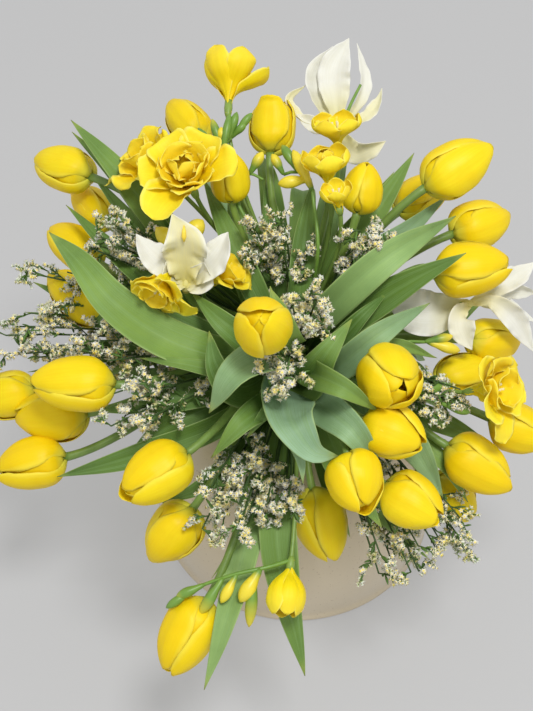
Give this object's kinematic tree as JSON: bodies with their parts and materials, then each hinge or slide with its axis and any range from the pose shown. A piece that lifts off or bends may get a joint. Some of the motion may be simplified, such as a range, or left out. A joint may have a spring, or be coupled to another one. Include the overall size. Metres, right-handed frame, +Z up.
{
  "type": "bunch of tulips in a vase",
  "caption": "Bunch of yellow tulips with freesias, white irises and sea lavender, fanned out of a round cream vase.",
  "frame": {"origin": "centre of the vase's flat foot, on the surface it stands on", "axes": "+Z up along the vase's axis, -Y towards the front of the bunch, +X to its right"},
  "size_m": [0.4981, 0.496, 0.4686],
  "materials": {
    "glaze": "satin",
    "water": "gloss",
    "green": "satin",
    "tulip_petal": "satin",
    "freesia_petal": "matte",
    "iris_petal": "matte",
    "floret": "matte"
  },
  "bodies": {
    "root": {"vase": "glaze", "water": "water", "foliage": "green", "tulip_01": "tulip_petal", "tulip_02": "tulip_petal", "tulip_03": "tulip_petal", "tulip_04": "tulip_petal", "tulip_05": "tulip_petal", "tulip_06": "tulip_petal", "tulip_07": "tulip_petal", "tulip_08": "tulip_petal", "tulip_09": "tulip_petal", "tulip_10": "tulip_petal", "tulip_11": "tulip_petal", "tulip_12": "tulip_petal", "tulip_13": "tulip_petal", "tulip_14": "tulip_petal", "tulip_15": "tulip_petal", "tulip_16": "tulip_petal", "tulip_17": "tulip_petal", "tulip_18": "tulip_petal", "tulip_19": "tulip_petal", "tulip_20": "tulip_petal", "tulip_21": "tulip_petal", "tulip_22": "tulip_petal", "tulip_23": "tulip_petal", "tulip_24": "tulip_petal", "tulip_25": "tulip_petal", "tulip_26": "tulip_petal", "tulip_27": "tulip_petal", "tulip_28": "tulip_petal", "tulip_29": "tulip_petal", "tulip_30": "tulip_petal", "freesia_01": "freesia_petal", "freesia_02": "freesia_petal", "freesia_03": "freesia_petal", "freesia_04": "freesia_petal", "freesia_05": "freesia_petal", "freesia_06": "freesia_petal", "freesia_07": "freesia_petal", "freesia_08": "freesia_petal", "freesia_09": "freesia_petal", "freesia_10": "freesia_petal", "iris_1": "iris_petal", "iris_2": "iris_petal", "iris_3": "iris_petal", "sea_lavender_01": "floret", "sea_lavender_02": "floret", "sea_lavender_03": "floret", "sea_lavender_04": "floret", "sea_lavender_05": "floret", "sea_lavender_06": "floret", "sea_lavender_07": "floret", "sea_lavender_08": "floret", "sea_lavender_09": "floret", "sea_lavender_10": "floret", "sea_lavender_11": "floret", "sea_lavender_12": "floret", "sea_lavender_13": "floret", "sea_lavender_14": "floret"}
  },
  "joints": []
}
